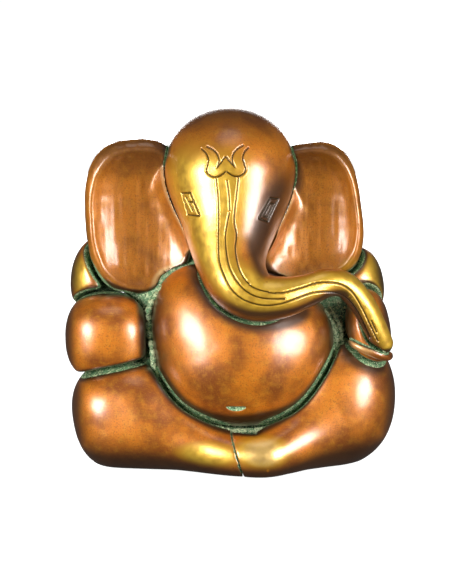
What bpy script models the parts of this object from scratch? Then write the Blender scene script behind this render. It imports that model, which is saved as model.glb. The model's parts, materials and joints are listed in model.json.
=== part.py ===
"""Seated elephant-headed idol: a cast brass figure brazed up from hollow castings.

A hollow torso carries every other casting. Each casting is a full, round volume that is
trimmed where it meets the castings before it in BRAZING_ORDER, and a brazed joint of
JOINT_GAP stays between the two. A screwed base plate and a felt pad close the underside.

Metres, +Z up, the figure faces -Y. The origin is on the ground, under the torso.
"""

import math

import bmesh
import bpy
from mathutils import Matrix, Vector

MM = 0.001

# Driving dimensions
FELT_THICKNESS = 1.0 * MM
PLATE_THICKNESS = 2.0 * MM
JOINT_GAP = 0.35 * MM
CASTING_WALL = 4.0 * MM
TORSO_WALL = 3.5 * MM
BEAD_RADIUS = 1.3 * MM

METAL_BOTTOM = FELT_THICKNESS + 0.3 * MM
PLATE_TOP = METAL_BOTTOM + PLATE_THICKNESS
FLOOR_BOTTOM = PLATE_TOP + 0.3 * MM
FLOOR_TOP = FLOOR_BOTTOM + 5.0 * MM

# Screws that hold the base plate: M3 countersunk
SCREW_SHANK_RADIUS = 1.5 * MM
SCREW_HEAD_RADIUS = 2.8 * MM
SCREW_HEAD_HEIGHT = 1.5 * MM
SCREW_LENGTH = 6.5 * MM
SCREW_CLEARANCE = 0.3 * MM
SLOT_WIDTH = 0.9 * MM
SLOT_DEPTH = 0.8 * MM
SCREW_SPOTS = [(-26.5, 4), (26.5, 4), (0, -12), (0, 20)]

# Ovals of the underside: half lengths along X and Y, about UNDERSIDE_CENTRE
UNDERSIDE_CENTRE = (0, 4)
PLATE_HALVES = (31.0, 20.0)
CORE_HOLE_HALVES = (21.0, 11.0)
FELT_HALVES = (35.0, 21.0)
PLATE_CLEARANCE = 0.35 * MM

# Facets: around a shape, and along a ball from pole to pole
AROUND = 24
POLE_TO_POLE = 12
LIMB_AROUND = 14
BEAD_AROUND = 8
STATIONS_PER_SPAN = 2
CAP_RINGS = 3

# name: colour, roughness, metallic
MATERIALS = {
    "copper_patina": ((0.42, 0.16, 0.035), 0.28, 1.0),
    "gold_polish": ((0.72, 0.45, 0.10), 0.25, 1.0),
    "back_bronze": ((0.28, 0.13, 0.05), 0.35, 1.0),
    "verdigris": ((0.10, 0.22, 0.15), 0.60, 0.4),
    "bare_brass": ((0.62, 0.46, 0.20), 0.40, 1.0),
    "steel": ((0.55, 0.55, 0.56), 0.35, 1.0),
    "felt": ((0.05, 0.12, 0.07), 0.95, 0.0),
}


class Ball:
    """An ellipsoid, made squarer by a power above 2 and tilted in the front view."""

    def __init__(self, centre, radii, power=2.0, tilt=0.0):
        self.centre = Vector(centre) * MM
        self.radii = Vector(radii) * MM
        self.power = power
        self.turn = Matrix.Rotation(math.radians(tilt), 3, "Y")

    def fill(self, mesh, grow):
        """Adds the ball, its radii longer by grow, to a bmesh."""
        made = bmesh.ops.create_uvsphere(mesh, u_segments=AROUND, v_segments=POLE_TO_POLE, radius=1.0)
        for vertex in made["verts"]:
            direction = vertex.co.copy()
            size = sum(abs(part) ** self.power for part in direction) ** (1 / self.power)
            scaled = Vector(part * (radius + grow) / size for part, radius in zip(direction, self.radii))
            vertex.co = self.centre + self.turn @ scaled


class Limb:
    """A round limb along a smooth line, with a radius at each point and domed ends."""

    def __init__(self, points, radii, around=LIMB_AROUND):
        self.points = [Vector(point) * MM for point in points]
        self.radii = [radius * MM for radius in radii]
        self.around = around

    def stations(self):
        """(point, radius) along the limb, on a Catmull-Rom curve."""
        rows = [point.to_4d() for point in self.points]
        for row, radius in zip(rows, self.radii):
            row.w = radius
        rows = [2 * rows[0] - rows[1], *rows, 2 * rows[-1] - rows[-2]]
        found = []
        for before, start, end, after in zip(rows, rows[1:], rows[2:], rows[3:]):
            for step in range(STATIONS_PER_SPAN):
                share = step / STATIONS_PER_SPAN
                found.append(catmull_rom(before, start, end, after, share))
        found.append(rows[-2])
        return [(row.to_3d(), row.w) for row in found]

    def fill(self, mesh, grow):
        """Adds the limb, its radius larger by grow, to a bmesh."""
        stations = self.stations()
        centres = [point for point, _ in stations]
        directions = [
            (centres[min(i + 1, len(centres) - 1)] - centres[max(i - 1, 0)]).normalized()
            for i in range(len(centres))
        ]
        sections = [
            (centre, direction, radius + grow)
            for (centre, radius), direction in zip(stations, directions)
        ]
        sections = dome(sections[0], -1)[::-1] + sections + dome(sections[-1], 1)
        side = directions[0].orthogonal().normalized()
        rings = []
        for centre, direction, radius in sections:
            side = (side - direction * side.dot(direction)).normalized()
            rings.append(ring(mesh, centre, side, direction.cross(side), radius, self.around))
        skin(mesh, rings)


class Turned:
    """An upright disc, cone or shaft from (height, radius) steps, lowest first, oval where stretched."""

    def __init__(self, spot, steps, stretch=1.0):
        self.spot = Vector((spot[0] * MM, spot[1] * MM, 0))
        self.steps = steps
        self.stretch = stretch

    def fill(self, mesh, grow):
        """Adds the turned shape to a bmesh, wider by grow."""
        rings = [
            ring(
                mesh,
                self.spot + Vector((0, 0, height)),
                Vector((self.stretch + grow * (1 - self.stretch) / (radius + grow), 0, 0)),
                Vector((0, 1, 0)),
                radius + grow,
            )
            for height, radius in self.steps
        ]
        skin(mesh, rings)


def catmull_rom(before, start, end, after, share):
    """The point at a share of the way from start to end."""
    slope_in = (end - before) / 2
    slope_out = (after - start) / 2
    bend = 3 * (end - start) - 2 * slope_in - slope_out
    twist = 2 * (start - end) + slope_in + slope_out
    return start + slope_in * share + bend * share**2 + twist * share**3


def dome(section, sense):
    """Sections that round off an end, from the last full one outwards."""
    centre, direction, radius = section
    found = []
    for step in range(1, CAP_RINGS + 1):
        angle = step / (CAP_RINGS + 0.5) * math.pi / 2
        reach = centre + direction * sense * radius * math.sin(angle)
        found.append((reach, direction, radius * math.cos(angle)))
    return found


def ring(mesh, centre, across, up, radius, around=AROUND):
    """A circle of vertices about a centre."""
    found = []
    for step in range(around):
        angle = 2 * math.pi * step / around
        found.append(mesh.verts.new(centre + (across * math.cos(angle) + up * math.sin(angle)) * radius))
    return found


def skin(mesh, rings):
    """Walls between successive rings, and a cap on each end."""
    for lower, upper in zip(rings, rings[1:]):
        for here in range(len(lower)):
            there = (here + 1) % len(lower)
            mesh.faces.new((lower[here], lower[there], upper[there], upper[here]))
    mesh.faces.new(rings[0][::-1])
    mesh.faces.new(rings[-1])


def belly_rim(bearing):
    """A point of the groove round the belly, at a bearing in the front view (90 is up)."""
    angle = math.radians(bearing)
    depth = RIM_DEPTH_SIDE + (RIM_DEPTH_LOW - RIM_DEPTH_SIDE) * max(0.0, -math.sin(angle)) ** 2
    spread = (1 - (depth / BELLY_RADII[1]) ** 2) ** 0.5
    stand_off = 1 + (1.2 + 1.6 * max(0.0, -math.sin(angle)) ** 2) / BELLY_RADII[0]
    return (
        BELLY_CENTRE[0] + BELLY_RADII[0] * spread * stand_off * math.cos(angle),
        BELLY_CENTRE[1] - depth,
        BELLY_CENTRE[2] + BELLY_RADII[2] * spread * stand_off * math.sin(angle),
    )


# The belly, in millimetres, and the groove that runs round it
BELLY_CENTRE = (4.6, -8, 49.5)
BELLY_RADII = (37, 34, 33.5)
RIM_DEPTH_SIDE = 6
RIM_DEPTH_LOW = 15
RIM_BEARINGS = range(180, 373, 12)
CHEST_RIM = [(-18.5, -15, 82), (-26, -14.5, 78), (-33, -14, 70), (-34.5, -14, 60)]
RIM = CHEST_RIM + [belly_rim(bearing) for bearing in RIM_BEARINGS]

# Each casting as the round volumes that it is made of, in millimetres
SHAPES = {
    "torso_shell": [
        Ball((0, 9, 40), (51, 26, 52), 2.5),
        Limb([(0, 6, 66), (0, 6, 90), (0, 3, 108)], [25, 20, 15]),
        Ball((2, -9, 7), (34, 20, 13), 2.2),
    ],
    "belly_bead": [Limb(RIM, [BEAD_RADIUS / MM] * len(RIM), BEAD_AROUND)],
    "head_with_trunk": [
        Ball((-0.6, -3, 125.5), (26.5, 28, 25), 2.05),
        Limb(
            [
                (0, -9, 121), (0, -13, 111), (-0.8, -22, 98), (0, -29, 89.4), (3.3, -35, 82),
                (10.4, -39, 76.8), (20.3, -40, 76.8), (29.9, -38, 79), (39, -36, 82), (46.5, -33, 80.6),
                (52.7, -31, 74), (57.3, -29.5, 66.2), (60.6, -28, 59.2), (62.4, -27, 55.4),
            ],
            [23, 21.5, 16.8, 14, 12.4, 10, 8.5, 6.9, 5.8, 5.4, 5.2, 5, 4.7, 4.4],
        ),
    ],
    "belly": [Ball(BELLY_CENTRE, BELLY_RADII, 2.15), Ball((-8, -8, 66), (26, 24, 20), 2.4)],
    "leg_left": [
        Ball((45.2, -7, 28.8), (23.4, 24, 26.6), 2.25, tilt=12),
        Limb(
            [
                (42, 14, 20), (45, -4, 22), (36, -13, 18.5), (27, -21, 14.8),
                (19.5, -29.5, 11.4), (12, -36, 9.5), (5, -34.5, 9.5),
            ],
            [16, 19, 17.5, 14.2, 11.2, 9.3, 9.2],
        ),
    ],
    "leg_right": [
        Ball((-44.2, -10, 23), (21.2, 22, 21.6), 2.3, tilt=-5),
        Limb(
            [
                (-42, 14, 19), (-44, -6, 20), (-35, -14, 19), (-22, -21, 15.1),
                (-10, -27.5, 11.4), (0, -33, 9.6),
            ],
            [16, 18, 18.5, 14.9, 11.2, 9.4],
        ),
    ],
    "forearm_right": [Ball((-50.9, -6, 54.2), (18.6, 19, 18.7), 2.5)],
    "forearm_left": [Ball((57, -9, 58), (9.5, 17, 17), 2.3, tilt=-8)],
    "hand_left": [Ball((59, -19, 51.5), (10.5, 9, 5), 2.2, tilt=22)],
    "ear_right": [Ball((-38.4, -3, 104.4), (22.4, 10, 32.7), 2.7, tilt=-3)],
    "ear_left": [Ball((34.6, -3, 107), (19.8, 10, 28.7), 3.0, tilt=-8)],
    "upper_arm_right": [Ball((-54, 6, 77), (13.5, 14, 18), 2.2, tilt=8)],
    "upper_arm_left": [Ball((51, 6, 74), (13.5, 14, 17), 2.2, tilt=-8)],
}
BRAZING_ORDER = list(SHAPES)

# What is scooped out of a casting: the ear dishes, and the hollow behind each thick wall
DISHES = {
    "ear_right": [Ball((-37, -17, 103.6), (19.6, 14, 30), 2.5, tilt=-3)],
    "ear_left": [Ball((33.6, -17, 106.4), (17.8, 14, 26), 2.7, tilt=-8)],
}
HOLLOW_CASTINGS = ["belly", "head_with_trunk", "leg_left", "leg_right"]

CASTING_MATERIALS = {
    "torso_shell": "back_bronze",
    "belly_bead": "verdigris",
    "head_with_trunk": "gold_polish",
    "upper_arm_left": "gold_polish",
    "upper_arm_right": "gold_polish",
}


def clear_scene():
    """Removes whatever the file started with."""
    for found in list(bpy.data.objects):
        bpy.data.objects.remove(found, do_unlink=True)


def material(name):
    """The Principled material of a name in MATERIALS, made once."""
    if name in bpy.data.materials:
        return bpy.data.materials[name]
    colour, roughness, metallic = MATERIALS[name]
    made = bpy.data.materials.new(name)
    made.use_nodes = True
    shader = made.node_tree.nodes["Principled BSDF"]
    shader.inputs["Base Color"].default_value = (*colour, 1)
    shader.inputs["Roughness"].default_value = roughness
    shader.inputs["Metallic"].default_value = metallic
    return made


def solid(name, shape, grow=0.0):
    """An object that holds one shape as a closed mesh."""
    mesh = bmesh.new()
    shape.fill(mesh, grow)
    bmesh.ops.recalc_face_normals(mesh, faces=mesh.faces)
    data = bpy.data.meshes.new(name)
    mesh.to_mesh(data)
    mesh.free()
    data.shade_smooth()
    data.set_sharp_from_angle(angle=math.radians(35))
    made = bpy.data.objects.new(name, data)
    bpy.context.scene.collection.objects.link(made)
    return made


def helper(obj):
    """Leaves an object out of the model: it only cuts or joins others."""
    obj.hide_render = True
    obj.display_type = "WIRE"
    return obj


def combine(obj, operation, other):
    """Adds a Boolean of obj with another object.

    EXACT fails where a casting only grazes another's surface, so every one uses MANIFOLD.
    """
    modifier = obj.modifiers.new(f"{operation.lower()}_{other.name}"[:60], "BOOLEAN")
    modifier.operation = operation
    modifier.object = other
    modifier.solver = "MANIFOLD"


def joined(name, shapes, grow=0.0):
    """One object from several overlapping shapes."""
    whole = solid(name, shapes[0], grow)
    for number, shape in enumerate(shapes[1:], start=1):
        combine(whole, "UNION", helper(solid(f"{name}_volume_{number}", shape, grow)))
    return whole


def reach(shapes, grow):
    """Lowest and highest corner of some shapes."""
    mesh = bmesh.new()
    for shape in shapes:
        shape.fill(mesh, grow)
    corners = [vertex.co.copy() for vertex in mesh.verts]
    mesh.free()
    low = Vector(map(min, *corners))
    high = Vector(map(max, *corners))
    return low, high


def meet(first, second):
    """Whether the boxes of two lists of shapes overlap."""
    first_low, first_high = reach(first, JOINT_GAP)
    second_low, second_high = reach(second, JOINT_GAP)
    return all(first_low[k] < second_high[k] and second_low[k] < first_high[k] for k in range(3))


def oval(halves, low, high):
    """An upright oval disc on the underside's centre."""
    return Turned(UNDERSIDE_CENTRE, [(low, halves[1] * MM), (high, halves[1] * MM)], halves[0] / halves[1])


def hollow_torso(torso):
    """Hollows the torso above a floor, opens the floor, and sinks the plate's recess into its underside."""
    core = helper(solid("torso_core", SHAPES["torso_shell"][0], -TORSO_WALL))
    combine(core, "DIFFERENCE", block_below("floor_block", FLOOR_TOP))
    combine(torso, "DIFFERENCE", core)
    hole = solid("core_hole", oval(CORE_HOLE_HALVES, 0, FLOOR_TOP + MM))
    combine(torso, "DIFFERENCE", helper(hole))
    recess = solid("plate_recess", oval(PLATE_HALVES, 0, FLOOR_BOTTOM), PLATE_CLEARANCE)
    combine(torso, "DIFFERENCE", helper(recess))


def screw_steps(slack):
    """The outline of a base screw, wider and longer by a slack."""
    head = SCREW_HEAD_RADIUS + slack
    shank = SCREW_SHANK_RADIUS + slack
    neck = METAL_BOTTOM + 0.3 * MM + SCREW_HEAD_HEIGHT
    return [
        (METAL_BOTTOM - slack, head),
        (METAL_BOTTOM + 0.3 * MM, head),
        (neck + slack, shank),
        (METAL_BOTTOM + SCREW_LENGTH + slack, shank),
    ]


def underside(torso):
    """The base plate, its screws and the felt pad."""
    plate = solid("base_plate", oval(PLATE_HALVES, METAL_BOTTOM, PLATE_TOP))
    plate.data.materials.append(material("bare_brass"))
    for number, spot in enumerate(SCREW_SPOTS, start=1):
        bore = helper(solid(f"screw_bore_{number}", Turned(spot, screw_steps(SCREW_CLEARANCE))))
        combine(plate, "DIFFERENCE", bore)
        combine(torso, "DIFFERENCE", bore)
        screw = solid(f"base_screw_{number}", Turned(spot, screw_steps(0)))
        screw.data.materials.append(material("steel"))
        size = (2 * SCREW_HEAD_RADIUS + MM, SLOT_WIDTH, SLOT_DEPTH * 2)
        centre = (spot[0] * MM, spot[1] * MM, METAL_BOTTOM)
        combine(screw, "DIFFERENCE", block(f"slot_{number}", size, centre))
    pad = solid("felt_pad", oval(FELT_HALVES, 0, FELT_THICKNESS))
    pad.data.materials.append(material("felt"))


def block(name, size, centre):
    """A box that only cuts."""
    mesh = bmesh.new()
    bmesh.ops.create_cube(mesh, size=1.0)
    bmesh.ops.scale(mesh, vec=size, verts=mesh.verts)
    bmesh.ops.translate(mesh, vec=centre, verts=mesh.verts)
    data = bpy.data.meshes.new(name)
    mesh.to_mesh(data)
    mesh.free()
    made = bpy.data.objects.new(name, data)
    bpy.context.scene.collection.objects.link(made)
    return helper(made)


def block_below(name, top):
    """A wide block that takes away everything below a height."""
    return block(name, (0.3, 0.3, 0.1), (0, 0, top - 0.05))


def castings():
    """Every casting, each one trimmed by those that were brazed on before it."""
    ground = block_below("ground_block", METAL_BOTTOM)
    cutters = {}
    made = {}
    for name in BRAZING_ORDER:
        shapes = SHAPES[name]
        casting = joined(name, shapes)
        casting.data.materials.append(material(CASTING_MATERIALS.get(name, "copper_patina")))
        for earlier, cutter in cutters.items():
            if meet(shapes, SHAPES[earlier]):
                combine(casting, "DIFFERENCE", cutter)
        for number, dish in enumerate(DISHES.get(name, []), start=1):
            combine(casting, "DIFFERENCE", helper(solid(f"{name}_dish_{number}", dish)))
        if name in HOLLOW_CASTINGS:
            core = helper(solid(f"{name}_core", shapes[0], -CASTING_WALL))
            combine(casting, "DIFFERENCE", core)
        if reach(shapes, 0)[0].z < METAL_BOTTOM:
            combine(casting, "DIFFERENCE", ground)
        cutters[name] = helper(joined(f"{name}_cutter", shapes, JOINT_GAP))
        made[name] = casting
    return made


def main():
    clear_scene()
    torso = castings()["torso_shell"]
    hollow_torso(torso)
    underside(torso)


main()
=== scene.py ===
"""The looks of the seated elephant-headed brass idol.

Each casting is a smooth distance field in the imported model's frame: balls and limbs blended
together, cut where a neighbour that was brazed on earlier meets it, and meshed by surface
nets. Engraving and hand finishing are worked into those meshes, and each vertex also carries
how deep in a groove it lies and how bright it is rubbed, for the materials to read.

Fields work in millimetres. Meshes are made in metres.
"""

import json
import math

import bmesh
import bpy
import numpy as np
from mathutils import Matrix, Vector
from mathutils.kdtree import KDTree


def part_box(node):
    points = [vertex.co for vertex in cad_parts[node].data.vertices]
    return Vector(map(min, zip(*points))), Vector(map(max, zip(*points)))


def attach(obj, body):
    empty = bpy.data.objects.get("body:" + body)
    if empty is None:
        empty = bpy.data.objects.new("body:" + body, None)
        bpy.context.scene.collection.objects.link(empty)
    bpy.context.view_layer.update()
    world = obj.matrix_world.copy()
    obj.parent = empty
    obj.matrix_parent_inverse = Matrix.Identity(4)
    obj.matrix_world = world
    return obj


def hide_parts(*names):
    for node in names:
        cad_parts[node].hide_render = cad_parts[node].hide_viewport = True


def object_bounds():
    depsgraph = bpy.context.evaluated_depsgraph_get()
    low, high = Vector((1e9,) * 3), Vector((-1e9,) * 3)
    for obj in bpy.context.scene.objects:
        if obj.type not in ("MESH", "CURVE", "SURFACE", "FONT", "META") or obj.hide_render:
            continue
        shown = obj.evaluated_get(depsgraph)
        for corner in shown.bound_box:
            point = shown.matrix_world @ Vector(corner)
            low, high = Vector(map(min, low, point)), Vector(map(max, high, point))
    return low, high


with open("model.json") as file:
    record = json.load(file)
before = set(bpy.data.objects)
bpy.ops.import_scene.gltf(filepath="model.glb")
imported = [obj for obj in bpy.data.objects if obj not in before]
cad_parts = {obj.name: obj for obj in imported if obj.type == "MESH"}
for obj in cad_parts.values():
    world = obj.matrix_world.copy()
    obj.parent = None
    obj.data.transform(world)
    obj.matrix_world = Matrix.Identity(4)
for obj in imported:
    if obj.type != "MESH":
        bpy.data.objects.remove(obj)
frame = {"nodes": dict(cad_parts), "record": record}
CAD_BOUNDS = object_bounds()

MM = 0.001
# The metal stops above the felt pad
METAL_BOTTOM = 1.3

# ---------------------------------------------------------------- distance fields
# A field takes points, one in each row, and gives each one's distance to a surface: below
# zero inside. Past FAR from a shape's box it need only be large. FAR is wider than any fillet.

FAR = 12.5
# Points that a limb is worked out for at once, to bound the memory
BATCH = 50000


def local(field, low, high):
    """A field that is only worked out near its own box."""
    low = np.array(low, float)
    high = np.array(high, float)

    def near_field(points):
        outside = np.maximum(np.maximum(low - points, points - high), 0)
        values = np.sqrt((outside**2).sum(axis=1))
        near = values < FAR
        values[near] = field(points[near])
        return values

    return near_field


def remembered(field):
    """A field that keeps its last answer, because several castings ask it about the same points."""
    last = [None, None]

    def recalled(points):
        if last[0] is not points:
            last[:] = points, field(points)
        return last[1]

    return recalled


def ball(centre, radii, power=2.0, tilt=0.0):
    """An ellipsoid, made squarer by a power above 2 and tilted in the front view."""
    centre = np.array(centre, float)
    radii = np.array(radii, float)
    cosine, sine = math.cos(math.radians(tilt)), math.sin(math.radians(tilt))

    def field(points):
        away = points - centre
        across = (away[:, 0] * cosine - away[:, 2] * sine) / radii[0]
        up = (away[:, 0] * sine + away[:, 2] * cosine) / radii[2]
        parts = np.abs(np.stack([across, away[:, 1] / radii[1], up], axis=1)) + 1e-6
        size = (parts**power).sum(axis=1) ** (1 / power)
        slope = np.sqrt((((parts / size[:, None]) ** (power - 1) / radii) ** 2).sum(axis=1))
        return (size - 1) / slope

    half_width = radii[0] * cosine + radii[2] * abs(sine)
    half_height = radii[0] * abs(sine) + radii[2] * cosine
    halves = np.array((half_width, radii[1], half_height))
    return local(field, centre - halves, centre + halves)


def catmull_rom(rows, per_span):
    """A smooth curve through rows of numbers, as rows."""
    rows = np.array(rows, float)
    rows = np.vstack([2 * rows[0] - rows[1], rows, 2 * rows[-1] - rows[-2]])
    found = []
    for before, start, end, after in zip(rows, rows[1:], rows[2:], rows[3:]):
        slope_in, slope_out = (end - before) / 2, (after - start) / 2
        bend = 3 * (end - start) - 2 * slope_in - slope_out
        twist = 2 * (start - end) + slope_in + slope_out
        for share in np.arange(per_span) / per_span:
            found.append(start + slope_in * share + bend * share**2 + twist * share**3)
    found.append(rows[-2])
    return np.array(found)


def lowest(gaps):
    """Each row's lowest value, read between the columns by a parabola."""
    middle = np.clip(gaps.argmin(axis=1), 1, gaps.shape[1] - 2)
    rows = np.arange(len(gaps))
    before, at, after = (gaps[rows, middle + step] for step in (-1, 0, 1))
    slope = (after - before) / 2
    bend = np.maximum(after + before - 2 * at, 1e-6)
    shift = np.clip(-slope / bend, -1, 1)
    return at + slope * shift + bend * shift**2 / 2


def limb(rows, per_span=5):
    """A round limb with round ends, along a smooth curve through (x, y, z, radius) rows."""
    stations = catmull_rom(rows, per_span)
    places, radii = stations[:, :3], stations[:, 3]

    def field(points):
        found = np.empty(len(points))
        for start in range(0, len(points), BATCH):
            some = points[start : start + BATCH]
            squares = (some**2).sum(axis=1)[:, None] + (places**2).sum(axis=1) - 2 * some @ places.T
            found[start : start + BATCH] = lowest(np.sqrt(np.maximum(squares, 1e-9)) - radii)
        return found

    return local(field, (places - radii[:, None]).min(axis=0), (places + radii[:, None]).max(axis=0))


def blended(width, *fields):
    """The union of fields, with a fillet where they meet."""

    def field(points):
        total = fields[0](points)
        for other in fields[1:]:
            value = other(points)
            near = np.maximum(width - np.abs(total - value), 0)
            total = np.minimum(total, value) - near**2 / (4 * width)
        return total

    return field


def carved(width, body, *cutters):
    """A body less its cutters, with a rounded edge where they meet."""

    def field(points):
        total = body(points)
        for cutter in cutters:
            value = -cutter(points)
            near = np.maximum(width - np.abs(total - value), 0)
            total = np.maximum(total, value) + near**2 / (4 * width)
        return total

    return field


def grown(field, amount):
    """A field's shape made larger by an amount."""
    return lambda points: field(points) - amount


def above(height):
    """Everything above a height."""
    return lambda points: height - points[:, 2]


def below(height):
    """Everything below a height."""
    return lambda points: points[:, 2] - height


def beyond(place, direction):
    """Everything past a plane through a place, in a direction."""
    direction = np.array(direction, float) / np.linalg.norm(direction)
    return lambda points: -(points - place) @ direction


def gradient(field, points, reach=0.05):
    """The field's slope at points."""
    found = np.empty_like(points)
    for axis in range(3):
        move = np.zeros(3)
        move[axis] = reach
        found[:, axis] = (field(points + move) - field(points - move)) / (2 * reach)
    return found


def settled(field, points, rounds=2, most=0.6):
    """Points moved onto the field's surface."""
    for _ in range(rounds):
        slope = gradient(field, points)
        square = np.maximum((slope**2).sum(axis=1), 0.05)
        move = -field(points)[:, None] * slope / square[:, None]
        length = np.sqrt((move**2).sum(axis=1, keepdims=True))
        points = points + move * np.minimum(1, most / np.maximum(length, 1e-9))
    return points


def normals_of(field, points):
    """The unit normals of the field's surface at points."""
    slope = gradient(field, points)
    return slope / np.maximum(np.sqrt((slope**2).sum(axis=1, keepdims=True)), 1e-9)


def smooth_step(low, high, values):
    """0 below low, 1 above high, and a smooth rise between."""
    share = np.clip((values - low) / (high - low), 0, 1)
    return share * share * (3 - 2 * share)


def spot(points, centre, radii):
    """1 at a spot's centre, fading out at its radii."""
    away = (((points - centre) / radii) ** 2).sum(axis=1)
    return smooth_step(0, 1, 1 - away)


# ---------------------------------------------------------------- surface nets

# Grid steps between the points of the first, rough sampling
BLOCK = 4
# Blocks each side of the surface that are then sampled at every grid point
NEAR_BLOCKS = 1.6


def sampled(field, axes, step):
    """The field on a grid: exact near its surface, and only roughly right elsewhere."""
    rough_axes = [axis[::BLOCK] for axis in axes]
    rough_points = np.stack(np.meshgrid(*rough_axes, indexing="ij"), -1).reshape(-1, 3)
    values = field(rough_points).reshape([len(axis) for axis in rough_axes])
    for axis in range(3):
        values = np.repeat(values, BLOCK, axis=axis)
    shift = BLOCK // 2
    values = np.pad(values, [(0, BLOCK)] * 3, mode="edge")[shift:, shift:, shift:]
    values = values[tuple(slice(0, len(axis)) for axis in axes)].copy()
    index = np.argwhere(np.abs(values) < step * BLOCK * NEAR_BLOCKS)
    corner = np.array([axis[0] for axis in axes])
    values[tuple(index.T)] = field(corner + index * step)
    return values


def net(field, low, high, step):
    """Surface nets: (points, quads) of the surface inside a box."""
    counts = (np.ceil((high - low) / (step * BLOCK)).astype(int) + 1) * BLOCK
    values = sampled(field, [low[k] + step * np.arange(counts[k] + 1) for k in range(3)], step)
    inside = values < 0
    size = np.array(values.shape) - 1
    corners = [np.array((i, j, k)) for i in (0, 1) for j in (0, 1) for k in (0, 1)]
    total = sum(
        inside[tuple(slice(o, o + s) for o, s in zip(offset, size))].astype(np.int8) for offset in corners
    )
    cells = np.argwhere((total > 0) & (total < 8))
    number = np.full(size, -1, np.int64)
    number[tuple(cells.T)] = np.arange(len(cells))
    sums, hits = np.zeros((len(cells), 3)), np.zeros(len(cells))
    for first in corners:
        for axis in np.flatnonzero(first == 0):
            along_edge = np.eye(3, dtype=int)[axis]
            here = values[tuple((cells + first).T)]
            there = values[tuple((cells + first + along_edge).T)]
            crossed = (here < 0) != (there < 0)
            share = np.where(crossed, here / np.where(crossed, here - there, 1), 0)
            sums += np.where(crossed[:, None], first + share[:, None] * along_edge, 0)
            hits += crossed
    points = low + (cells + sums / hits[:, None]) * step

    quads = []
    for axis in range(3):
        u, v = (axis + 1) % 3, (axis + 2) % 3
        edges = np.argwhere(np.diff(inside, axis=axis))
        for side in (u, v):
            edges = edges[(edges[:, side] > 0) & (edges[:, side] < size[side])]
        around = []
        for du, dv in ((1, 1), (0, 1), (0, 0), (1, 0)):
            cell = edges.copy()
            cell[:, u] -= du
            cell[:, v] -= dv
            around.append(number[tuple(cell.T)])
        faces = np.stack(around, axis=1)
        outward = inside[tuple(edges.T)]
        faces[~outward] = faces[~outward][:, ::-1]
        quads.append(faces)
    return points, np.vstack(quads)


# ---------------------------------------------------------------- the castings

BELLY_CENTRE = np.array((4.6, -8, 49.5))
BELLY_RADII = np.array((37, 34, 33.5))
BEAD_RADIUS = 1.6
STRAND_RADIUS = 1.3
STRAND_BEARINGS = range(335, 390, 9)

TRUNK = [
    (0, -9, 121, 23), (0, -13, 111, 21.5), (-0.8, -22, 98, 16.8), (0, -29, 89.4, 14),
    (3.3, -35, 82, 12.4), (10.4, -38.9, 76.8, 10), (20.3, -39.8, 76.8, 8.5), (29.9, -38, 79, 6.9),
    (39, -36, 82, 5.8), (46.5, -33, 80.6, 5.4), (52.7, -31, 74, 5.2), (57.3, -29.5, 66.2, 5),
    (60.6, -28, 59.2, 4.7), (62.4, -27, 55.4, 4.4),
]
LEG_LEFT = [
    (42, 14, 20, 16), (45, -4, 22, 18.5), (36, -13, 18.5, 17), (28, -22.5, 14.6, 14),
    (20, -30.5, 11.6, 11.4), (12.5, -36, 9.6, 9.4), (0, -33, 9.5, 9.3),
]
LEG_RIGHT = [
    (-42, 14, 19, 16), (-44, -6, 20, 17.5), (-35, -14, 19, 18), (-22, -21, 15.1, 14.8),
    (-10, -27.5, 11.4, 11.2), (0, -33, 9.6, 9.4), (8, -35, 9.5, 9.3),
]
FOOT_SEAM_PLACE = (0.3, -34, 17.9)
FOOT_SEAM_FACES = (0.955, 0, 0.298)
CHEST_RIM = [(-18.5, -15, 82), (-26, -14.5, 78), (-33, -14, 70), (-34.5, -14, 60)]


def belly_rim(bearing, out=0.0):
    """A point of the groove round the belly, at a bearing in the front view (90 is up)."""
    angle = math.radians(bearing)
    low = max(0.0, -math.sin(angle)) ** 2
    depth = 8 + 7 * low
    spread = (1 - (depth / BELLY_RADII[1]) ** 2) ** 0.5
    reach = BELLY_RADII * spread * (1 + (1.2 + 1.6 * low + out) / BELLY_RADII[0])
    return (
        BELLY_CENTRE[0] + reach[0] * math.cos(angle),
        BELLY_CENTRE[1] - depth - 0.8,
        BELLY_CENTRE[2] + reach[2] * math.sin(angle),
    )


def bead():
    """The raised bead that lies in the groove round the belly, with two strands more beside the arm."""
    rim = CHEST_RIM + [belly_rim(bearing) for bearing in range(180, 373, 12)]
    strands = [limb([(*place, BEAD_RADIUS) for place in rim], per_span=3)]
    for out in (2.6, 5.2):
        strand = []
        for bearing in STRAND_BEARINGS:
            swell = math.sin(math.radians((bearing - STRAND_BEARINGS[0]) * 2.2))
            strand.append((*belly_rim(bearing, out * swell), STRAND_RADIUS))
        strands.append(limb(strand, per_span=3))
    return blended(0.6, *strands)


TRUNK_END = (61.3, -29, 53.6)
TRUNK_END_FACES = (-0.54, 0, -0.84)
TRUNK_END_CUT = carved(
    0.3,
    ball((60, -27, 50), (11, 11, 11)),
    beyond(TRUNK_END, np.negative(TRUNK_END_FACES)),
)
NAVEL = carved(0.5, ball((1.8, -37.0, 31.0), (4.3, 2.4, 4.2)), above(30.7))

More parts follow.
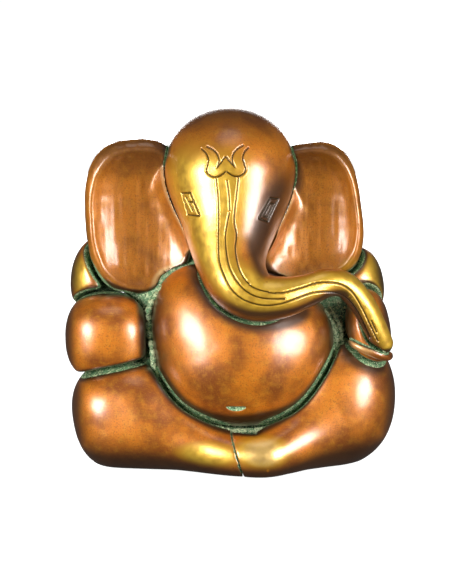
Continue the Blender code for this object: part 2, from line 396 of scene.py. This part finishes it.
WHOLE = {
    "torso_shell": blended(
        9,
        ball((0, 9, 40), (51, 26, 52), 2.5),
        limb([(0, 8, 66, 20), (0, 8, 90, 14), (0, 4, 108, 12)]),
        ball((2, -9, 7), (34, 20, 13), 2.2),
        ball((45, 3, 62), (9, 14, 17)),
    ),
    "head_with_trunk": carved(
        0.6,
        blended(9, ball((-0.6, -3, 125.4), (26.5, 28, 24.9), 2.05), limb(TRUNK)),
        TRUNK_END_CUT,
    ),
    "belly": blended(
        10,
        ball(BELLY_CENTRE, BELLY_RADII, 2.15),
        ball((-9, -8, 66), (23, 24, 20), 2.3),
        ball((17, -8, 55), (24, 24, 17), 2.6),
    ),
    "leg_left": carved(
        0.3,
        blended(12, ball((45, -7, 28.8), (23, 24, 26.6), 2.25, tilt=12), limb(LEG_LEFT)),
        beyond(FOOT_SEAM_PLACE, np.negative(FOOT_SEAM_FACES)),
    ),
    "leg_right": carved(
        0.3,
        blended(12, ball((-44.2, -10, 23), (21, 22, 21.6), 2.7, tilt=-12), limb(LEG_RIGHT)),
        beyond(FOOT_SEAM_PLACE, FOOT_SEAM_FACES),
    ),
    "forearm_right": ball((-50.9, -6, 54.2), (18.4, 19, 18.7), 2.5),
    "forearm_left": ball((57, -11, 58), (9.5, 17, 17), 2.3, tilt=-8),
    "hand_left": ball((57.6, -20, 52), (10.2, 9.5, 3.4), 2.2, tilt=22),
    "ear_right": ball((-38.4, -3, 104.4), (22.4, 10, 32.7), 2.7, tilt=-3),
    "ear_left": blended(
        6,
        ball((34.6, -3, 107), (19.8, 10, 28.7), 3.0, tilt=-8),
        ball((24, -3, 86), (16, 9, 16)),
    ),
    "upper_arm_right": ball((-54, 6, 77), (13.5, 14, 18), 2.2, tilt=8),
    "upper_arm_left": ball((51, 6, 74), (13.5, 14, 17), 2.2, tilt=-8),
}
WHOLE = {name: remembered(field) for name, field in WHOLE.items()}
BRAZING_ORDER = list(WHOLE)
# What is scooped out of the ears
DISHES = {
    "ear_right": ball((-36.6, -17, 103.9), (23.2, 14.5, 32.2), 2.4, tilt=-3),
    "ear_left": blended(
        6,
        ball((33.2, -17, 106.6), (20.2, 14.5, 28.2), 2.5, tilt=-8),
        ball((22.5, -17, 88), (18, 7.3, 16.5)),
    ),
}

# (gap, rounding of the edge) of each kind of joint
JOINT = (1.5, 3.0)
FOOT_SEAM = (0.2, 0.5)
EAR_SEAM = (0.15, 1.0)
HAND_SEAM = (0.5, 1.2)
TRUNK_SEAM = (0.9, 1.6)


def joint(name, earlier):
    """(gap, rounding) of the joint between two castings."""
    if {name, earlier} == {"leg_left", "leg_right"}:
        return FOOT_SEAM
    if name.startswith("ear"):
        return EAR_SEAM
    if name == "hand_left":
        return HAND_SEAM
    if earlier == "head_with_trunk":
        return TRUNK_SEAM
    return JOINT


def polished(points):
    """1 where the valleys between the head and the ears are filled and rubbed clean, fading to 0."""
    left = spot(points, (-24, -10, 105), (20, 30, 26))
    right = spot(points, (23, -14, 94), (22, 32, 29))
    return smooth_step(0, 0.7, np.maximum(left, right))


def leading_into(ear, head):
    """An ear with the fillets that lead from its dish into the head."""

    def field(points):
        first, second = ear(points), head(points)
        width = 0.3 + 10 * polished(points)
        near = np.maximum(width - np.abs(first - second), 0)
        return np.maximum(np.minimum(first, second) - near**2 / (4 * width), first - width)

    return field


def casting(name):
    """A casting's field: its whole volume, trimmed by those brazed on before it."""
    field = WHOLE[name]
    if name in DISHES:
        field = leading_into(carved(1.8, field, DISHES[name]), WHOLE["head_with_trunk"])
    if name == "belly":
        field = carved(0.5, field, NAVEL)
    for earlier in BRAZING_ORDER[: BRAZING_ORDER.index(name)]:
        gap, rounding = joint(name, earlier)
        field = carved(rounding, field, grown(WHOLE[earlier], gap))
    return carved(1.5, field, below(METAL_BOTTOM))


def ground(castings):
    """The torso, and the green fillets that it sends up into the grooves between castings."""
    legs = blended(0.8, castings["leg_left"], castings["leg_right"])
    broad = blended(5.5, *[castings[name] for name in ("belly", "forearm_right", "torso_shell")], legs)
    close = [name for name in BRAZING_ORDER[1:] if not name.startswith(("belly", "leg", "forearm_right"))]
    fillets = grown(blended(3.0, broad, *[castings[name] for name in close]), -0.95)
    return carved(1.5, blended(0.5, WHOLE["torso_shell"], fillets), below(METAL_BOTTOM))


# ---------------------------------------------------------------- engraving

# Places in millimetres in the front view, (x, z)
MARK_CENTRE = (-2.2, 130.5)
MARK_TILT = math.radians(2.5)
MARK_HALF = [
    [
        (9.5, 5.7), (7.8, 4.1), (7.0, 1.8), (7.6, -0.9), (8.0, -2.8), (6.8, -4.5), (4.6, -5.3),
        (2.2, -4.6), (0.3, -3.2),
    ],
    [(7.4, 6.7), (5.1, 5.6), (3.3, 3.7), (2.7, 1.2), (3.5, -1.4)],
    [(0.2, 2.7), (1.9, 0.5), (3.6, -1.5)],
]
TRUNK_LINES = [
    [
        (-6.2, 124.4), (-5.4, 116.8), (-5.2, 108), (-5.3, 100), (-4.9, 92.5), (-2.9, 86.8),
        (0.3, 81.1), (5.2, 77.2), (12.4, 75.2), (19.7, 75.6), (27.8, 78.1), (34, 79.5), (41, 79),
        (47, 76), (51.8, 69.8), (55.2, 62.8), (57, 58.5),
    ],
    [(-1.7, 123.7), (-0.9, 117.7), (-0.6, 111.8)],
    [
        (-0.8, 110.8), (-1.8, 106), (-2.4, 100.5), (-1.3, 91.9), (1.5, 85.9), (6, 80.8),
        (12.4, 78.1), (21.7, 77.6),
    ],
    [
        (3, 125.2), (2.3, 118.5), (1.5, 112), (1.3, 107), (2.2, 102), (1.7, 96.4), (3.5, 88.9),
        (7.6, 83.2), (13, 80.8), (19.7, 80), (27.8, 81.6), (35.9, 83.4), (43.5, 82.5),
        (49.1, 78.6), (53.3, 71.7), (56.8, 64.3), (60.2, 57.2),
    ],
]
EYES = [
    [(-20, 117.4), (-16.6, 117.9), (-12.8, 109), (-17.8, 108.6), (-20, 117.4)],
    [(-18.2, 115.8), (-15.4, 110.4)],
    [(-17, 114), (-15.4, 114.4)],
    [(15.9, 115.8), (19.3, 115), (14.8, 106.2), (11.3, 108.1), (15.9, 115.8)],
    [(15.8, 113.6), (17.4, 113.2), (14.6, 108), (13.1, 108.8), (15.8, 113.6)],
]
TIP_STROKES = [[(54.5, 69.5), (57.6, 62.5)], [(57.4, 66), (59.6, 61)]]
TRACK_STEP = 0.12


def mark_tracks():
    """The forehead's trident: one half, and the same mirrored."""
    tracks = []
    for side in (-1, 1):
        for half in MARK_HALF:
            curve = catmull_rom(half, 8) * (side, 1)
            across = curve[:, 0] * math.cos(MARK_TILT) - curve[:, 1] * math.sin(MARK_TILT)
            up = curve[:, 0] * math.sin(MARK_TILT) + curve[:, 1] * math.cos(MARK_TILT)
            tracks.append(np.stack([across, up], axis=1) + MARK_CENTRE)
    return tracks


def evenly(track):
    """A track with a point every TRACK_STEP."""
    lengths = np.concatenate([[0], np.cumsum(np.sqrt((np.diff(track, axis=0) ** 2).sum(axis=1)))])
    marks = np.arange(0, lengths[-1], TRACK_STEP)
    return np.stack([np.interp(marks, lengths, track[:, axis]) for axis in range(2)], axis=1)


def on_front(field, track):
    """Points of the surface straight behind (x, z) places, seen from the front."""
    depths = np.arange(-56, 0, 0.5)
    rays = np.empty((len(track), len(depths), 3))
    rays[:, :, 0] = track[:, :1]
    rays[:, :, 1] = depths
    rays[:, :, 2] = track[:, 1:]
    inside = field(rays.reshape(-1, 3)).reshape(len(track), -1) < 0
    first = rays[np.arange(len(track)), inside.argmax(axis=1)]
    return settled(field, first[inside.any(axis=1)], 3)


def tree_of(points):
    """A tree that finds the nearest of some points."""
    tree = KDTree(len(points))
    for number, point in enumerate(points):
        tree.insert(Vector(point), number)
    tree.balance()
    return tree


def distances(tree, points):
    """Each point's distance to the nearest in the tree."""
    return np.array([tree.find(Vector(point))[2] for point in points])


def refined(points, faces, tree, reaches):
    """The mesh divided finer near a tree's points, once for each reach."""
    mesh = bmesh.new()
    for point in points:
        mesh.verts.new(point)
    mesh.verts.ensure_lookup_table()
    for face in faces:
        mesh.faces.new([mesh.verts[k] for k in face])
    for reach in reaches:
        near = {vertex for vertex in mesh.verts if tree.find(vertex.co)[2] < reach}
        edges = [edge for edge in mesh.edges if edge.verts[0] in near and edge.verts[1] in near]
        bmesh.ops.subdivide_edges(mesh, edges=edges, cuts=1, use_grid_fill=True)
    mesh.verts.index_update()
    points = np.array([vertex.co for vertex in mesh.verts])
    faces = [[vertex.index for vertex in face.verts] for face in mesh.faces]
    mesh.free()
    return points, faces


# ---------------------------------------------------------------- unevenness

LATTICE = np.random.default_rng(7).random((32, 32, 32))


def noise(points, size, stretch=(1, 1, 1)):
    """Smooth noise from -1 to 1 whose lumps are about a size across, longer where stretched."""
    places = points / (size * np.array(stretch, float)) + 100
    cell = np.floor(places).astype(int)
    share = places - cell
    share = share * share * (3 - 2 * share)
    total = np.zeros(len(points))
    for corner in np.ndindex(2, 2, 2):
        weight = np.prod(np.where(corner, share, 1 - share), axis=1)
        total += weight * LATTICE[tuple(((cell + corner) % 32).T)]
    return total * 2 - 1


# ---------------------------------------------------------------- rubbed metal


def facing(normals, direction):
    """How squarely normals face a direction."""
    direction = np.array(direction, float) / np.linalg.norm(direction)
    return normals @ direction


def rubbed(name, points, normals):
    """How bright each point is rubbed, from 0 (brown patina) to 1 (gold). On the head's face the gold is
    partly painted light, leaning to the side the left lamp lights.
    """
    if name == "head_with_trunk":
        height = points[:, 2]
        upper = smooth_step(84, 96, height)
        # Rubbed gold on the face, partly painted light: it leans toward the left, lamp-lit side.
        face = smooth_step(0.40, 1.0, facing(normals, (-0.42, -0.9, -0.05)))
        face = face * (1 - 0.8 * smooth_step(126, 144, height))
        trunk = smooth_step(0.35, 0.95, facing(normals, (-0.1, -0.9, 0.3)))
        tip = smooth_step(0.1, 0.8, facing(normals, (0.55, -0.8, 0.25)))
        tip = tip * smooth_step(38, 48, points[:, 0])
        return upper * face + (1 - upper) * np.maximum(trunk, 0.9 * tip)
    if name.startswith("leg"):
        right_toes = spot(points, (-9, -38, 11), (19, 14, 7))
        left_toes = spot(points, (13, -43, 13), (16, 16, 9))
        return np.maximum(right_toes, left_toes)
    if name == "upper_arm_right":
        return spot(points, (-64, -4, 80), (7, 14, 11))
    if name == "upper_arm_left":
        return spot(points, (62, -3, 79), (11, 16, 15))
    if name == "ear_left":
        return 0.6 * spot(points, (50, -9, 84), (7, 8, 6))
    if name == "belly_bead":
        return smooth_step(0.3, 0.95, facing(normals, (0.15, -0.9, 0.4)))
    return np.zeros(len(points))


def painted_shade(name, points, normals):
    """Painted shade on each point, from 0 to 1: in the dishes, most under their rims; on the head's right
    side, top and underside; on faces that look down near the floor and on faces that turn sideways. On
    the head's right side it also stands for browner patina.
    """
    height = points[:, 2]
    if name in DISHES:
        # Painted shade in the dishes, strongest high up under the rims.
        top = 0.6 * smooth_step(108, 134, height) * smooth_step(0, 0.6, -normals[:, 1])
        return np.maximum(0.25, top)
    if name == "head_with_trunk":
        # Painted shade on the head's right side, partly standing for browner patina.
        side = smooth_step(0.45, 0.95, facing(normals, (0.95, -0.3, 0.05)))
        side = side * smooth_step(138, 112, height) * smooth_step(42, 28, points[:, 0])
        beneath = smooth_step(0.1, 0.65, -normals[:, 2])
        return np.maximum(np.maximum(side, beneath), 0.5 * smooth_step(130, 150, height))
    # Painted shade on faces that look down near the floor and on faces that turn sideways.
    beneath = smooth_step(-0.1, 0.8, -normals[:, 2]) * smooth_step(34, 8, height)
    return np.maximum(beneath, 0.75 * smooth_step(0.5, 1.0, np.abs(normals[:, 0])))


# ---------------------------------------------------------------- materials


class Shader:
    """A short way to build a node material."""

    def __init__(self, name):
        self.material = bpy.data.materials.new(name)
        self.material.use_nodes = True
        self.nodes = self.material.node_tree.nodes
        self.links = self.material.node_tree.links
        self.principled = self.nodes["Principled BSDF"]
        self.place = self.nodes.new("ShaderNodeTexCoord").outputs["Object"]

    def wire(self, value, socket):
        """Puts a number, a colour or another node's output into a socket."""
        if isinstance(value, bpy.types.NodeSocket):
            self.links.new(value, socket)
        else:
            socket.default_value = value

    def attribute(self, name):
        """One of the mesh's vertex attributes, as a number."""
        node = self.nodes.new("ShaderNodeAttribute")
        node.attribute_name = name
        return node.outputs["Fac"]

    def noise(self, size, detail=4.0, stretch=(1, 1, 1)):
        """Noise whose lumps are about a size in millimetres, longer where stretched."""
        mapping = self.nodes.new("ShaderNodeMapping")
        mapping.inputs["Scale"].default_value = [1 / (size * MM * longer) for longer in stretch]
        self.links.new(self.place, mapping.inputs["Vector"])
        node = self.nodes.new("ShaderNodeTexNoise")
        node.inputs["Scale"].default_value = 1.0
        node.inputs["Detail"].default_value = detail
        self.links.new(mapping.outputs["Vector"], node.inputs["Vector"])
        return node.outputs["Fac"]

    def math(self, operation, first, second=0.0):
        """A math node's result."""
        node = self.nodes.new("ShaderNodeMath")
        node.operation = operation
        self.wire(first, node.inputs[0])
        self.wire(second, node.inputs[1])
        return node.outputs[0]

    def rise(self, value, low, high, to_low=0.0, to_high=1.0):
        """A smooth rise of value between two bounds."""
        node = self.nodes.new("ShaderNodeMapRange")
        node.interpolation_type = "SMOOTHSTEP"
        self.wire(value, node.inputs["Value"])
        bounds = {"From Min": low, "From Max": high, "To Min": to_low, "To Max": to_high}
        for socket, number in bounds.items():
            node.inputs[socket].default_value = number
        return node.outputs["Result"]

    def mix(self, share, first, second, kind="RGBA"):
        """A colour between two."""
        node = self.nodes.new("ShaderNodeMix")
        node.data_type = kind
        self.wire(share, node.inputs["Factor"])
        self.wire(first, node.inputs["A"])
        self.wire(second, node.inputs["B"])
        return node.outputs["Result"]

    def between(self, share, first, second):
        """A number between two."""
        return self.mix(share, first, second, kind="FLOAT")

    def bumped(self, height, distance, before=None):
        """A normal that a height in 0 to 1 lifts by up to a distance in millimetres."""
        node = self.nodes.new("ShaderNodeBump")
        self.wire(self.math("MULTIPLY", distance, MM), node.inputs["Distance"])
        self.links.new(height, node.inputs["Height"])
        if before is not None:
            self.links.new(before, node.inputs["Normal"])
        return node.outputs["Normal"]

    def finish(self, **values):
        """Wires the Principled shader's sockets: Base_Color is Base Color."""
        for socket, value in values.items():
            self.wire(value, self.principled.inputs[socket.replace("_", " ")])
        return self.material


COPPER_DARK = (0.34, 0.080, 0.001, 1)
COPPER = (0.74, 0.215, 0.001, 1)
COPPER_LIGHT = (0.84, 0.36, 0.020, 1)
SHADE_BROWN = (0.040, 0.013, 0.001, 1)
OLIVE = (0.58, 0.25, 0.005, 1)
GOLD = (0.96, 0.58, 0.045, 1)
# Pale worn brass for edge wear, also used for a painted highlight on the left toes.
WORN_EDGE_AND_HIGHLIGHT = (0.92, 0.60, 0.24, 1)
GREEN_DARK = (0.012, 0.040, 0.020, 1)
GREEN = (0.17, 0.33, 0.16, 1)
GREEN_PALE = (0.72, 0.80, 0.46, 1)
ENGRAVED = (0.035, 0.022, 0.006, 1)


def brass(name, brushed=0.0, green=0.0):
    """Patinated brass that reads a mesh's rub, groove, shade, edge and line.

    Brushed is how plainly polishing streaks show, and green is added to the groove.
    """
    s = Shader(name)
    broad, patchy, fine = s.noise(14), s.noise(3.2), s.noise(0.6, 6)
    streaks = s.noise(0.7, 3, (1, 1, 22))
    scratches = s.math("MULTIPLY", s.noise(0.3, 2, (30, 1, 1)), s.noise(0.3, 2, (1, 1, 24)))
    colour = s.mix(s.rise(broad, 0.35, 0.62), COPPER_DARK, COPPER)
    colour = s.mix(s.rise(patchy, 0.45, 0.8, 0, 0.45), colour, COPPER_LIGHT)
    colour = s.mix(s.math("MULTIPLY", streaks, brushed), colour, COPPER_LIGHT)
    colour = s.mix(s.rise(scratches, 0.22, 0.42, 0, 0.35), colour, COPPER_LIGHT)
    colour = s.mix(s.rise(fine, 0.50, 0.70, 0, 0.65), colour, COPPER_DARK)

    uneven = s.math("MULTIPLY", s.math("SUBTRACT", broad, 0.5), 0.35)
    rubbed_here = s.math("ADD", s.attribute("rub"), uneven)
    rub = s.rise(rubbed_here, 0.45, 1.0)
    colour = s.mix(s.rise(rubbed_here, 0.05, 0.55), colour, OLIVE)
    colour = s.mix(s.math("MULTIPLY", rub, s.rise(patchy, 0.25, 0.65, 0.55, 1.0)), colour, GOLD)

    # Edge wear, and on the left toes a painted highlight.
    edge = s.rise(s.math("ADD", s.attribute("edge"), s.math("MULTIPLY", fine, 0.3)), 0.45, 0.95, 0, 0.7)
    colour = s.mix(edge, colour, WORN_EDGE_AND_HIGHLIGHT)
    shade = s.rise(s.math("ADD", s.attribute("shade"), uneven), 0.05, 0.75, 0, 0.92)
    colour = s.mix(shade, colour, SHADE_BROWN)

    ragged = s.math("MULTIPLY", s.math("SUBTRACT", patchy, 0.5), 0.4)
    crust = s.rise(s.math("ADD", s.math("ADD", s.attribute("groove"), ragged), green), 0.44, 0.62)
    # Painted shade in the green crust: darker where the shade attribute is high.
    deep = s.math("ADD", s.attribute("shade"), s.math("MULTIPLY", s.math("SUBTRACT", patchy, 0.5), 1.2))
    green_colour = s.mix(s.rise(deep, 0.75, 1.35), GREEN, GREEN_DARK)
    pale = s.math("ADD", s.math("MULTIPLY", fine, 0.6), s.math("MULTIPLY", s.noise(1.6, 2), 0.4))
    pale = s.math("ADD", pale, s.math("MULTIPLY", s.attribute("rub"), 0.07))
    green_colour = s.mix(s.rise(pale, 0.48, 0.60, 0, 0.85), green_colour, GREEN_PALE)
    green_colour = s.mix(s.rise(s.noise(0.9, 3), 0.56, 0.66, 0, 0.8), green_colour, GREEN_DARK)
    colour = s.mix(crust, colour, green_colour)
    line = s.rise(s.attribute("line"), 0.25, 0.75, 0, 0.9)
    colour = s.mix(line, colour, ENGRAVED)

    clean = s.math("SUBTRACT", 1.0, s.math("MAXIMUM", crust, line))
    roughness = s.between(rub, s.rise(broad, 0.3, 0.7, 0.44, 0.56), s.rise(patchy, 0.3, 0.7, 0.34, 0.44))
    roughness = s.between(crust, roughness, s.rise(fine, 0.4, 0.7, 0.62, 0.34))
    bump = s.bumped(patchy, 0.10)
    bump = s.bumped(streaks, 0.012 + 0.13 * brushed, bump)
    bump = s.bumped(scratches, 0.02, bump)
    bump = s.bumped(fine, s.between(crust, 0.02, 0.35), bump)
    s.principled.inputs["Coat Roughness"].default_value = 0.28
    s.principled.inputs["Coat IOR"].default_value = 1.8
    return s.finish(
        Base_Color=colour,
        Metallic=s.between(crust, s.between(rub, 0.45, 0.65), 0.2),
        Roughness=roughness,
        Coat_Weight=clean,
        Normal=bump,
    )


def plain_metal(name, colour, dark, roughness, lines):
    """Turned or plated metal with fine machining lines, for the hardware underneath."""
    s = Shader(name)
    patchy, grain = s.noise(5), s.noise(0.25, 2, lines)
    return s.finish(
        Base_Color=s.mix(s.rise(patchy, 0.35, 0.7), dark, colour),
        Metallic=1.0,
        Roughness=s.rise(grain, 0.2, 0.8, roughness - 0.08, roughness + 0.12),
        Normal=s.bumped(grain, 0.02),
    )


def felt_material():
    """Green wool felt."""
    s = Shader("felt")
    fibres, tufts = s.noise(0.35, 6, (1, 3, 1)), s.noise(4)
    colour = s.mix(s.rise(fibres, 0.3, 0.7), (0.020, 0.055, 0.030, 1), (0.070, 0.150, 0.085, 1))
    s.principled.inputs["Sheen Weight"].default_value = 0.4
    return s.finish(
        Base_Color=s.mix(s.rise(tufts, 0.4, 0.8, 0, 0.3), colour, (0.11, 0.19, 0.12, 1)),
        Roughness=0.95,
        Normal=s.bumped(fibres, 0.3),
    )


# ---------------------------------------------------------------- pieces

# Size of a piece's mesh faces
COMMON_STEP = 0.85
STEP = {
    "head_with_trunk": 0.75,
    "torso_shell": 0.8,
    "belly_bead": 0.45,
    "hand_left": 0.5,
    "ear_left": 0.6,
    "ear_right": 0.6,
}
# Room left round a node's box, because its skin can differ a little from it
BOX_MARGIN = 2.5
GROOVE_REACH = 1.6
SHADE_REACH = 7.0
EDGE_REACH = 1.0
LINE_WIDTH = 0.38
LINE_DEPTH = 0.5


def crowded(solid, points, normals, reach):
    """How near other metal comes in front of each point: 0 where none is within reach."""
    return np.clip(1 - solid(points + normals * reach) / reach, 0, 1)


def marks(name, points, normals, solid, field):
    """What the brass material reads, for each point."""
    groove = crowded(solid, points, normals, GROOVE_REACH)
    shade = crowded(solid, points, normals, SHADE_REACH)
    edge = np.clip(1 + field(points - normals * EDGE_REACH) / EDGE_REACH, 0, 1)
    if name == "torso_shell":
        front = smooth_step(8, 0, points[:, 1]) * smooth_step(9, 13, points[:, 2])
        fillets = smooth_step(0.2, 0.8, WHOLE[name](points))
        groove = np.maximum(groove, np.maximum(front, fillets))
        edge = np.zeros(len(points))
    if name == "forearm_left":
        shade = 0.4 * shade
    if name.startswith("leg"):
        # A painted highlight on the left toes, carried in the edge-wear attribute.
        edge = np.maximum(edge, 0.7 * spot(points, (13, -44, 13), (13, 14, 9)))
    return {
        "groove": groove * (1 - polished(points)),
        # Painted shade, both from nearby metal and from which way each face turns.
        "shade": np.maximum(shade, 0.85 * painted_shade(name, points, normals)),
        "edge": edge,
        "rub": rubbed(name, points, normals),
    }


def engrave(field, points, faces):
    """The head with its mark, eyes and trunk lines cut in: (points, faces, depth of cut from 0 to 1)."""
    curves = [catmull_rom(line, 8) for line in TRUNK_LINES]
    tracks = mark_tracks() + curves + [np.array(line, float) for line in EYES + TIP_STROKES]
    cut = on_front(field, np.vstack([evenly(track) for track in tracks]))
    tree = tree_of(cut)
    points, faces = refined(points, faces, tree, (1.7, 1.1))
    points = settled(field, points)
    away = distances(tree, points)
    groove = np.exp(-((away / LINE_WIDTH) ** 2))
    burr = np.exp(-(((away - 2 * LINE_WIDTH) / (0.6 * LINE_WIDTH)) ** 2))
    lift = LINE_DEPTH * (0.12 * burr - groove)
    return points + normals_of(field, points) * lift[:, None], faces, groove


def around_navel(field):
    """A tree of places round the navel, for a finer mesh there."""
    places = np.stack(np.meshgrid(np.arange(-2, 6.1, 1), np.arange(27, 31.1, 1)), -1)
    return tree_of(on_front(field, places.reshape(-1, 2)))


def surface(name, field):
    """A casting's surface: (points, faces, depth of its engraving from 0 to 1)."""
    box = CAD_BOUNDS if name == "torso_shell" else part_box(name)
    low, high = (np.array(corner) / MM for corner in box)
    points, faces = net(field, low - BOX_MARGIN, high + BOX_MARGIN, STEP.get(name, COMMON_STEP))
    points = settled(field, points)
    if name == "head_with_trunk":
        return engrave(field, points, faces)
    if name == "belly":
        points, faces = refined(points, faces, around_navel(field), (1.6, 1.2))
        points = settled(field, points)
    return points, faces, np.zeros(len(points))


def unevenness(name, points):
    """How far hand finishing leaves each point from the true shape."""
    waves = 0.10 * noise(points, 9) + 0.05 * noise(points, 4)
    if name in DISHES:
        waves += 0.13 * noise(points, 1.8, (1, 1, 5)) + 0.07 * noise(points, 3, (3, 1, 1))
    if name == "belly_bead":
        waves += 0.14 * noise(points, 2.2) + 0.10 * noise(points, 0.9)
    if name == "torso_shell":
        waves += 0.08 * noise(points, 1.6) * (points[:, 1] < 5)
    return waves


def mesh_object(name, points, faces, material, attributes):
    """A smooth mesh piece in place of the CAD node of that name."""
    data = bpy.data.meshes.new(f"{name}_skin")
    data.from_pydata((points * MM).tolist(), [], [list(face) for face in faces])
    data.materials.append(material)
    data.shade_smooth()
    for label, values in attributes.items():
        layer = data.attributes.new(label, "FLOAT", "POINT")
        layer.data.foreach_set("value", np.ascontiguousarray(values, dtype=np.float32))
    made = bpy.data.objects.new(f"{name}_skin", data)
    bpy.context.scene.collection.objects.link(made)
    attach(made, "root")
    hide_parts(name)
    return made


def build_castings():
    """Every casting, the ground and the bead as finished pieces."""
    fields = {name: casting(name) for name in BRAZING_ORDER}
    fields["torso_shell"] = ground(fields)
    fields["belly_bead"] = bead()
    volumes = {**WHOLE, **{name: carved(3, WHOLE[name], DISHES[name]) for name in DISHES}}
    solid = blended(0.1, *volumes.values())
    slots = {row["node"]: row["material_slot"] for row in frame["record"]["subparts"]}
    materials = {
        "copper_patina": brass("copper_patina"),
        "gold_polish": brass("gold_polish", brushed=0.12),
        "back_bronze": brass("back_bronze", green=0.03),
        "verdigris": brass("verdigris", green=1.2),
        "dish": brass("copper_patina_dish", brushed=0.45),
    }
    lowest_corner, highest_corner = (np.array(corner) / MM for corner in CAD_BOUNDS)
    lowest_corner[2] = METAL_BOTTOM
    for name, field in fields.items():
        points, faces, line = surface(name, field)
        normals = normals_of(field, points)
        attributes = marks(name, points, normals, solid, field)
        attributes["line"] = line
        points = points + normals * unevenness(name, points)[:, None]
        points = np.clip(points, lowest_corner, highest_corner)
        material = materials["dish"] if name in DISHES else materials[slots[name]]
        piece = mesh_object(name, points, faces, material, attributes)


def finish_hardware():
    """Materials for the CAD nodes that are shown as they are."""
    plate = plain_metal("bare_brass", (0.62, 0.44, 0.17, 1), (0.36, 0.24, 0.09, 1), 0.38, (1, 12, 1))
    steel = plain_metal("steel", (0.62, 0.62, 0.62, 1), (0.36, 0.36, 0.37, 1), 0.34, (10, 1, 1))
    felt = felt_material()
    for name, node in frame["nodes"].items():
        if name == "base_plate" or name == "felt_pad" or name.startswith("base_screw"):
            node.data.materials.clear()
            node.data.materials.append({"base_plate": plate, "felt_pad": felt}.get(name, steel))


# ---------------------------------------------------------------- studio

CAMERA_DISTANCE = 1.2
CAMERA_ELEVATION = math.radians(10)
CAMERA_TARGET = Vector((-0.0021, 0, 0.072))
FRAME_HEIGHT = 0.2453
SENSOR = 36


def softbox(name, azimuth, elevation, distance, size, power):
    """An oval softbox that faces the object, at an azimuth from the front."""
    target = Vector((0, 0, 0.07))
    turn, rise = math.radians(azimuth), math.radians(elevation)
    away = Vector((math.sin(turn) * math.cos(rise), -math.cos(turn) * math.cos(rise), math.sin(rise)))
    data = bpy.data.lights.new(name, "AREA")
    data.shape = "ELLIPSE"
    data.size, data.size_y = size
    data.energy = power
    made = bpy.data.objects.new(name, data)
    made.location = target + distance * away
    made.rotation_euler = (-away).to_track_quat("-Z", "Y").to_euler()
    bpy.context.scene.collection.objects.link(made)


def studio():
    """Floor, world, lamps and camera."""
    data = bpy.data.meshes.new("floor")
    data.from_pydata([(-8, -8, 0), (8, -8, 0), (8, 8, 0), (-8, 8, 0)], [], [(0, 1, 2, 3)])
    floor = bpy.data.objects.new("floor", data)
    s = Shader("floor")
    paper = s.mix(s.noise(900), (0.84, 0.84, 0.835, 1), (0.88, 0.88, 0.875, 1))
    made = s.finish(
        Base_Color=paper,
        Roughness=0.8,
        Emission_Color=paper,
        Emission_Strength=1.14,
    )
    data.materials.append(made)
    floor.visible_glossy = False
    floor.visible_diffuse = False
    bpy.context.scene.collection.objects.link(floor)

    world = bpy.data.worlds.new("studio")
    world.use_nodes = True
    bpy.context.scene.world = world
    background = world.node_tree.nodes["Background"]
    background.inputs["Color"].default_value = (1, 1, 1, 1)
    background.inputs["Strength"].default_value = 0.06

    softbox("softbox_left", -47, 8, 0.7, (0.32, 0.36), 4.8)
    softbox("softbox_right", 47, 8, 0.7, (0.32, 0.36), 4.8)
    softbox("overhead", 0, 75, 0.9, (0.5, 0.5), 0.6)
    softbox("back", 180, 8, 0.9, (0.5, 0.4), 4)

    data = bpy.data.cameras.new("camera")
    data.sensor_width = SENSOR
    data.lens = SENSOR * CAMERA_DISTANCE / FRAME_HEIGHT
    camera = bpy.data.objects.new("camera", data)
    away = Vector((0, -math.cos(CAMERA_ELEVATION), math.sin(CAMERA_ELEVATION)))
    camera.location = CAMERA_TARGET + CAMERA_DISTANCE * away
    camera.rotation_euler = (math.pi / 2 - CAMERA_ELEVATION, 0, 0)
    bpy.context.scene.collection.objects.link(camera)
    bpy.context.scene.camera = camera
    bpy.context.scene.view_settings.view_transform = "Standard"


build_castings()
finish_hardware()
studio()
